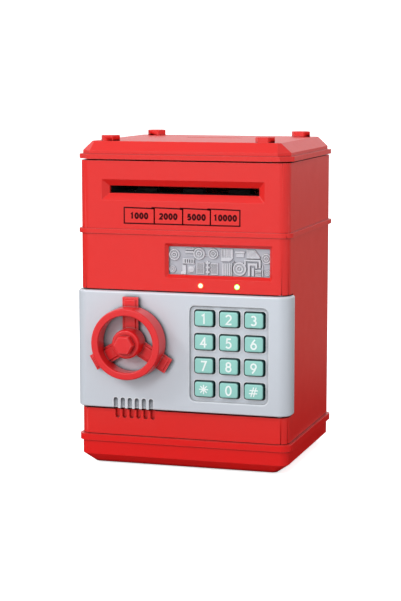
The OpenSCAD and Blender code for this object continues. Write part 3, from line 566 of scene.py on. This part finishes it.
inkLook = {"height": 6.2, "stroke": 0.92, "thin": 0.72, "raise": 0.10, "sink": 0.1, "layer": 0.012}
keyNames = ("1", "2", "3", "4", "5", "6", "7", "8", "9", "star", "0", "hash")
for index, name in enumerate(keyNames):
    centre = (keyLook["columns"][index % 3], keyLook["rows"][index // 3])
    node = "key_" + name
    placePiece(node + "_cap", meshOf(node + "_cap", [loft(keyRings(centre))]), "keyMint", node, (node,))
    stroke = inkLook["stroke"] * (inkLook["thin"] if name in ("star", "hash") else 1.0)
    raised, sunk = keyLook["face"] - inkLook["raise"], keyLook["face"] + inkLook["sink"]
    bands = [band(path, closed, stroke, np.array(centre), inkLook["height"],
                  raised - layer * inkLook["layer"], sunk)
             for layer, (path, closed) in enumerate(glyphs[name])]
    placePiece(node + "_sign", meshOf(node + "_sign", bands), "keyInk", node)
print("stage: keys")


labelLook = {"numerals": (("1000", -25.6), ("2000", -8.2), ("5000", 8.5), ("10000", 25.3)),
             "height": 3.5, "narrow": (0.96, 1.0), "advance": 2.82, "middle": 144.8, "stroke": 1.0,
             "edges": (-34.5, -16.5, 0.4, 16.7, 33.9), "low": 140.4, "high": 149.1, "line": 0.72,
             "step": 0.55, "overlap": 1.3, "slant": 0.15, "firstSlant": 0.3,
             "lineFront": -0.07, "inkFront": -0.08, "back": 0.06}


def labelBands():
    # four frames side by side, each after the first with a stepped tab over the one before, and numerals
    bands = []
    edges, low, high, back = (labelLook[key] for key in ("edges", "low", "high", "back"))
    for left, right in zip(edges[:-1], edges[1:]):
        start = left - labelLook["overlap"]
        frameLine = line((left, low), (left, high), (start, high), (start, high + labelLook["step"]),
                         (right, high + labelLook["slant"]), (right, low))
        if left == edges[0]:
            frameLine = line((left, low), (left, high + labelLook["firstSlant"]), (right, high),
                             (right, low))
        bands.append(band(frameLine, True, labelLook["line"], 0.0, 1.0, labelLook["lineFront"], back))
    for text, middle in labelLook["numerals"]:
        for place, digit in enumerate(text):
            shift = (place - (len(text) - 1) / 2) * labelLook["advance"]
            centre = np.array((middle + shift, labelLook["middle"]))
            bands += [band(path * labelLook["narrow"], closed, labelLook["stroke"], centre,
                           labelLook["height"], labelLook["inkFront"], back)
                      for path, closed in glyphs[digit]]
    return bands


placePiece("slot_labels", meshOf("slot_labels", labelBands()), "labelInk", "front_frame")
print("stage: labels")


wheelLook = {"centre": (-28.9, 72.9), "back": -4.3,
             "ring": (16.5, 20.6), "front": -16.5, "soft": 0.8, "lean": 0.03, "around": 128, "section": 28,
             "hubRadii": (8.65, 8.4, 8.15, 7.6), "hubDepths": (-4.3, -14.3, -14.9, -15.6),
             "arms": (90, 210, 330), "armRoot": 5.0, "armTip": 26.0,
             "arm": 9.4, "armFront": -8.0, "border": 1.1, "slope": 0.5, "raise": 1.1, "bevel": 0.28}
boltLook = {"radius": 5.9, "depths": (-15.5, -19.5, -20.35), "chamfer": 0.7, "bevel": 0.18}


def unitCircle():
    # cosine and sine at even steps once round, as rows of x and z
    t = np.linspace(0, 2 * np.pi, wheelLook["around"], endpoint=False)
    return np.stack([np.cos(t), np.sin(t)], axis=-1)


def wheelRing():
    # a rounded rectangle turned about the axis, its sides leaning out toward the back
    cx, cz = wheelLook["centre"]
    inner, outer = wheelLook["ring"]
    back, front = wheelLook["back"], wheelLook["front"]
    section = roundedRing(outer - inner, back - front, wheelLook["soft"], wheelLook["section"])[0]
    radius = section[:, 0] + (inner + outer) / 2 + wheelLook["lean"] * section[:, 1]
    depth = np.broadcast_to(section[:, 1] + (back + front) / 2, (wheelLook["around"], len(section)))
    cos, sin = unitCircle().T[:, :, None]
    return loft(np.stack([cx + radius * cos, depth, cz + radius * sin], axis=-1), wrap=True)


def wheelHub():
    # circles stacked in depth, the last two drawn in as a chamfer
    radii = np.array(wheelLook["hubRadii"])
    circles = radii[:, None, None] * unitCircle()
    return loft(standing(circles, wheelLook["hubDepths"], wheelLook["centre"]))


def wheelArm(angle):
    # a section with a raised panel run outward from the hub; the panel slopes away short of the tip
    cx, cz = wheelLook["centre"]
    back, top, tip, slope = (wheelLook[key] for key in ("back", "armFront", "armTip", "slope"))
    half = wheelLook["arm"] / 2
    inner = half - wheelLook["border"]
    end = tip - wheelLook["border"]
    low = top + wheelLook["raise"]
    across = np.array([-half, half, half, inner, inner - slope, slope - inner, -inner, -half])
    panel = np.array([back, back, low, low, top, top, low, low])
    plain = np.maximum(panel, low)
    steps = np.array([wheelLook["armRoot"], end - slope, end, tip])
    out = np.array([np.cos(angle), np.sin(angle)])
    side = np.array([-np.sin(angle), np.cos(angle)])
    flat = steps[:, None, None] * out + across[None, :, None] * side
    depths = np.stack([panel, panel, plain, plain])
    return loft(np.stack([flat[..., 0] + cx, depths, flat[..., 1] + cz], axis=-1))


def hexRings(centre, radius, depths, chamfer):
    # a hexagon stacked in depth, its last step drawn in by the chamfer
    t = np.radians(np.arange(6) * 60.0)
    radii = np.full(len(depths), radius)
    radii[-1] -= chamfer
    flat = radii[:, None, None] * np.stack([np.cos(t), np.sin(t)], axis=-1)[None]
    return standing(flat, depths, centre)


wheelParts = [wheelRing(), wheelHub()] + [wheelArm(angle) for angle in np.radians(wheelLook["arms"])]
wheelMesh = meshOf("hand_wheel_skin", wheelParts)
wheelPiece = placePiece("hand_wheel_skin", wheelMesh, "wheelRed", "hand_wheel", ("hand_wheel",))
softenEdges(wheelPiece, wheelLook["bevel"], "ANGLE", 2)
boltRings = hexRings(wheelLook["centre"], boltLook["radius"], boltLook["depths"], boltLook["chamfer"])
boltMesh = meshOf("wheel_bolt_skin", [loft(boltRings)])
boltPiece = placePiece("wheel_bolt_skin", boltMesh, "wheelRed", "wheel_bolt", ("wheel_bolt",))
softenEdges(boltPiece, boltLook["bevel"], "ANGLE", 2)
print("stage: wheel")


reliefLook = {"left": -8.4, "top": 127.4, "plate": (-12.4, 107.9, 54.2, 131.6), "base": 3.6, "tall": 1.35,
              "ground": 0.06, "cell": 0.145, "backing": 5.2}


def reliefHeights(x, z):
    # heights in 0..1 over the plate: each motif is a soft-edged mask times a level, the highest one shows;
    # u runs right and v down, in mm from the upper left of the window in front of it
    u, v = x - reliefLook["left"], reliefLook["top"] - z
    height = np.full(u.shape, reliefLook["ground"])

    def ramp(value, soft=0.16):
        return np.clip(value / soft + 0.5, 0.0, 1.0)

    def disc(cu, cv, r, level, soft=0.16):
        return level * ramp(r - np.hypot(u - cu, v - cv), soft)

    def box(u0, v0, u1, v1, level, soft=0.16):
        return level * ramp(np.minimum(np.minimum(u - u0, u1 - u), np.minimum(v - v0, v1 - v)), soft)

    def turnedBox(cu, cv, long, wide, degrees, level):
        a = np.radians(degrees)
        du = (u - cu) * np.cos(a) + (v - cv) * np.sin(a)
        dv = (v - cv) * np.cos(a) - (u - cu) * np.sin(a)
        return level * ramp(np.minimum(long / 2 - np.abs(du), wide / 2 - np.abs(dv)))

    def ribs(value, pitch, share=0.5):
        # 1 over the ribs of a comb and 0 between them
        return ramp(np.abs((value / pitch) % 1.0 - 0.5) * pitch - (1 - share) * pitch / 2, 0.12)

    def target(cu, cv, r, level):
        # a disc with two stepped rings and a boss in the middle
        face = disc(cu, cv, r, level)
        cut = 0.46 * min(r / 3, 1)
        face -= disc(cu, cv, 0.76 * r, cut) - disc(cu, cv, 0.55 * r, cut)
        return face - disc(cu, cv, 0.32 * r, 0.9 * cut) + disc(cu, cv, 0.15 * r, cut)

    targets = [
        target(3.0, 4.4, 3.2, 0.92), target(1.9, 12.7, 2.0, 0.8), target(17.7, 3.5, 3.4, 0.95),
        target(26.0, 3.3, 3.0, 0.9), target(41.5, 11.4, 3.9, 0.95), target(57.0, 5.2, 2.9, 0.9),
        target(57.6, 13.0, 1.8, 0.75)]
    leftHalf = [
        box(9.6, 0.6, 14.6, 1.5, 0.5), box(9.2, 2.1, 14.4, 3.2, 0.7),
        turnedBox(14.6, 0.7, 2.6, 0.6, 25, 0.6),
        box(7.8, 6.3, 15.0, 9.4, 0.72) - box(8.4, 6.9, 14.8, 8.8, 0.5) * ribs(u, 1.35, 0.45),
        box(7.6, 10.2, 9.9, 15.4, 0.7), box(6.9, 13.8, 9.9, 15.6, 0.9),
        box(10.9, 10.3, 15.2, 14.7, 0.35), disc(13.0, 12.4, 1.75, 0.85), disc(12.8, 12.2, 0.9, 1.0),
        box(16.0, 8.5, 20.8, 15.0, 0.62) - box(16.5, 9.0, 20.3, 14.6, 0.26) * ribs(v, 0.62),
        box(22.2, 7.4, 23.1, 15.4, 0.8), box(21.4, 8.0, 24.0, 9.2, 0.7),
        box(21.4, 10.6, 24.0, 11.8, 0.7), box(21.4, 13.2, 24.0, 14.4, 0.7),
        box(24.3, 8.6, 28.9, 15.2, 0.62) - box(24.8, 9.1, 28.4, 14.8, 0.26) * ribs(v, 0.62),
        box(9.0, 4.2, 29.4, 5.0, 0.30)]
    block = np.minimum(box(30.6, 0.4, 37.6, 7.4, 0.82), 0.82 * ramp(43.2 - u - v))
    flag = np.minimum(box(45.4, 0.5, 53.6, 5.3, 0.6), 0.6 * ramp((v - 0.4) - 1.35 * (u - 50.6)))
    rightHalf = [
        block - box(31.2, 0.4, 36.6, 5.2, 0.30) * ribs(u, 1.2),
        box(31.4, 8.4, 37.2, 15.6, 0.80) - box(31.9, 8.4, 36.7, 15.6, 0.34) * ribs(u, 1.3),
        box(38.9, 1.4, 44.5, 2.5, 1.0), box(39.4, 2.5, 44.0, 4.9, 0.55),
        turnedBox(38.4, 8.2, 2.6, 0.9, 50, 0.95),
        flag - box(45.8, 0.9, 51.0, 5.0, 0.12) * ribs(u + v, 0.7),
        turnedBox(52.2, 3.2, 6.8, 0.35, 53, 0.8),
        box(44.2, 5.9, 53.6, 6.9, 0.85), box(52.6, 5.9, 53.8, 10.6, 0.85),
        box(44.2, 5.9, 45.2, 9.2, 0.85), box(46.3, 7.9, 51.9, 9.2, 0.95),
        box(46.3, 7.9, 47.6, 15.4, 0.95), box(50.7, 7.9, 51.9, 10.9, 0.95),
        box(48.4, 10.4, 50.0, 15.4, 0.55),
        box(50.4, 11.6, 54.2, 15.4, 0.7) - box(50.4, 12.6, 54.2, 14.6, 0.4) * ribs(v, 0.9),
        box(54.4, 8.9, 55.2, 15.4, 0.6)]
    for layer in targets + leftHalf + rightHalf:
        height = np.maximum(height, layer)
    grooves = box(29.7, -3, 30.15, 19, 1.0, 0.1) + box(38.05, -3, 38.45, 9.0, 1.0, 0.1)
    return height * (1.0 - np.clip(grooves, 0, 1))


def reliefPart():
    # a grid over the plate pushed forward by its heights, closed by sides and a flat back
    x0, z0, x1, z1 = reliefLook["plate"]
    cols, rows = int((x1 - x0) / reliefLook["cell"]), int((z1 - z0) / reliefLook["cell"])
    x, z = np.meshgrid(np.linspace(x0, x1, cols), np.linspace(z0, z1, rows))
    y = reliefLook["base"] - reliefLook["tall"] * reliefHeights(x, z)
    front = np.stack([x, y, z], axis=-1).reshape(-1, 3)
    number = np.arange(rows * cols).reshape(rows, cols)
    rim = np.concatenate([number[0, :-1], number[:-1, -1], number[-1, :0:-1], number[:0:-1, 0]])
    rear = front[rim].copy()
    rear[:, 1] = reliefLook["backing"]
    after, far = np.roll(rim, -1), np.arange(len(rim)) + rows * cols
    sides = np.stack([rim, far, np.roll(far, -1), after], axis=1)
    faces = quadGrid(rows, cols, wrapCols=False) + list(sides) + [far[::-1]]
    return np.concatenate([front, rear]), faces


reliefMesh = meshOf("relief_plate_skin", [reliefPart()], 50.0)
placePiece("relief_plate_skin", reliefMesh, "reliefSilver", "relief_plate", ("relief_plate",))
print("stage: relief")


cameraLook = {
    "place": (299.23, -946.21, 231.29),      # mm in the case frame
    "aim": (-0.28885, 0.94797, -0.13390),    # direction of view
    "lens": 105.62}
camera = bpy.data.cameras.new("viewCamera")
camera.lens = cameraLook["lens"]
camera.sensor_width = 36.0
camera.sensor_fit = "AUTO"
camera.clip_end = 50.0
cameraObject = bpy.data.objects.new("viewCamera", camera)
bpy.context.scene.collection.objects.link(cameraObject)
cameraObject.location = Vector(inFrame(cameraLook["place"]))
cameraObject.rotation_euler = Vector(cameraLook["aim"]).to_track_quat("-Z", "Y").to_euler()
bpy.context.scene.camera = cameraObject


# "seen" is the floor's tone for the lens, "lit" the one it lights with; mirrored in a glossy surface it is
# "front" before the object and "back" behind it, and falls to "near" close by and to the left
stageLook = {"size": 12.0, "seen": (0.97, 0.97, 0.97), "near": (0.0, 0.0, 0.0), "front": (1.0, 1.0, 1.0),
             "back": (0.27, 0.23, 0.19), "lit": (0.46, 0.46, 0.46), "lift": 0.72, "fade": (0.08, 0.5),
             "turn": (-0.1, 0.1), "aside": (1.0, -0.3, 0.0), "asideFade": (-0.6, -0.1), "roughness": 0.9}


def dotNode(tree, coords, direction):
    # how far a place lies along a direction
    node = tree.nodes.new("ShaderNodeVectorMath")
    node.operation = "DOT_PRODUCT"
    wire(tree, coords, node.inputs[0])
    node.inputs[1].default_value = direction
    return node.outputs["Value"]


def floorMaterial():
    # what a mirror, the lens and the light find on the floor, told apart by the kind of ray
    material = bpy.data.materials.new("paleFloor")
    material.use_nodes = True
    tree = material.node_tree
    shader = tree.nodes["Principled BSDF"]
    ray = tree.nodes.new("ShaderNodeLightPath")
    coords = tree.nodes.new("ShaderNodeTexCoord").outputs["Object"]
    away = tree.nodes.new("ShaderNodeVectorMath")
    away.operation = "LENGTH"
    wire(tree, coords, away.inputs[0])
    behind = dotNode(tree, coords, (0.0, 1.0, 0.0))
    turned = spread(tree, behind, *stageLook["turn"])
    far = spread(tree, away.outputs["Value"], *stageLook["fade"])
    beside = spread(tree, dotNode(tree, coords, stageLook["aside"]), *stageLook["asideFade"])
    mirrored = mixColour(tree, turned, stageLook["front"], stageLook["back"])
    mirrored = mixColour(tree, far, stageLook["near"], mirrored)
    mirrored = mixColour(tree, beside, stageLook["near"], mirrored)
    tone = mixColour(tree, ray.outputs["Is Glossy Ray"], stageLook["lit"], mirrored)
    tone = mixColour(tree, ray.outputs["Is Camera Ray"], tone, stageLook["seen"])
    wire(tree, tone, shader.inputs["Base Color"])
    shader.inputs["Roughness"].default_value = stageLook["roughness"]
    shader.inputs["Specular IOR Level"].default_value = 0.0
    shader.inputs["Emission Color"].default_value = (1.0, 1.0, 1.0, 1.0)
    lift = mathNode(tree, "MULTIPLY", ray.outputs["Is Camera Ray"], stageLook["lift"])
    wire(tree, lift, shader.inputs["Emission Strength"])
    return material


half = stageLook["size"] / 2
floorCorners = [(-half, -half, 0), (half, -half, 0), (half, half, 0), (-half, half, 0)]
floorMesh = bpy.data.meshes.new("paleFloor")
floorMesh.from_pydata(floorCorners, [], [(0, 1, 2, 3)])
floorMesh.materials.append(floorMaterial())
floor = bpy.data.objects.new("paleFloor", floorMesh)
bpy.context.scene.collection.objects.link(floor)


# The sky seen by the lens is plain white; the light it gives is almost even and weakens toward the zenith
skyLook = {"toward": (-0.35, -0.93, 0.0), "dim": 0.98, "bright": 0.99, "zenith": 0.72, "rise": (0.1, 0.9),
           "seen": 1.1}


def softSky():
    # a strength for each direction: dim to bright toward one side, times the fall toward the zenith
    world = bpy.data.worlds.new("softStudio")
    world.use_nodes = True
    tree = world.node_tree
    ray = tree.nodes.new("ShaderNodeLightPath")
    coords = tree.nodes.new("ShaderNodeTexCoord").outputs["Generated"]
    toward = dotNode(tree, coords, skyLook["toward"])
    height = dotNode(tree, coords, (0.0, 0.0, 1.0))
    given = spread(tree, toward, -1.0, 1.0, skyLook["dim"], skyLook["bright"])
    fall = spread(tree, height, *skyLook["rise"], 1.0, skyLook["zenith"])
    given = mathNode(tree, "MULTIPLY", given, fall)
    seen = mathNode(tree, "MULTIPLY", ray.outputs["Is Camera Ray"], skyLook["seen"])
    background = tree.nodes["Background"]
    wire(tree, mathNode(tree, "MAXIMUM", given, seen), background.inputs["Strength"])
    background.inputs["Color"].default_value = (1.0, 1.0, 1.0, 1.0)
    return world


bpy.context.scene.world = softSky()

# Lamps in metres and watts; a low share of their light shows as a gloss
lightLook = {"keyBox": {"place": (-0.25, -1.3, 0.7), "size": 0.4, "power": 5.2},
             "rakeBox": {"place": (-0.95, -0.85, 0.95), "size": 0.22, "power": 4.2}}
lightTarget = (0, 0, 0.1)
lightGloss = 0.15


def softBox(name, place, size, power):
    # a square lamp at its place, turned toward the middle of the object
    light = bpy.data.lights.new(name, "AREA")
    light.shape = "SQUARE"
    light.size = size
    light.energy = power
    light.specular_factor = lightGloss
    box = bpy.data.objects.new(name, light)
    bpy.context.scene.collection.objects.link(box)
    box.location = place
    box.rotation_euler = (Vector(lightTarget) - Vector(place)).to_track_quat("-Z", "Y").to_euler()


for name, values in lightLook.items():
    softBox(name, **values)
bpy.context.scene.view_settings.view_transform = "Standard"
print("stage: light and camera")
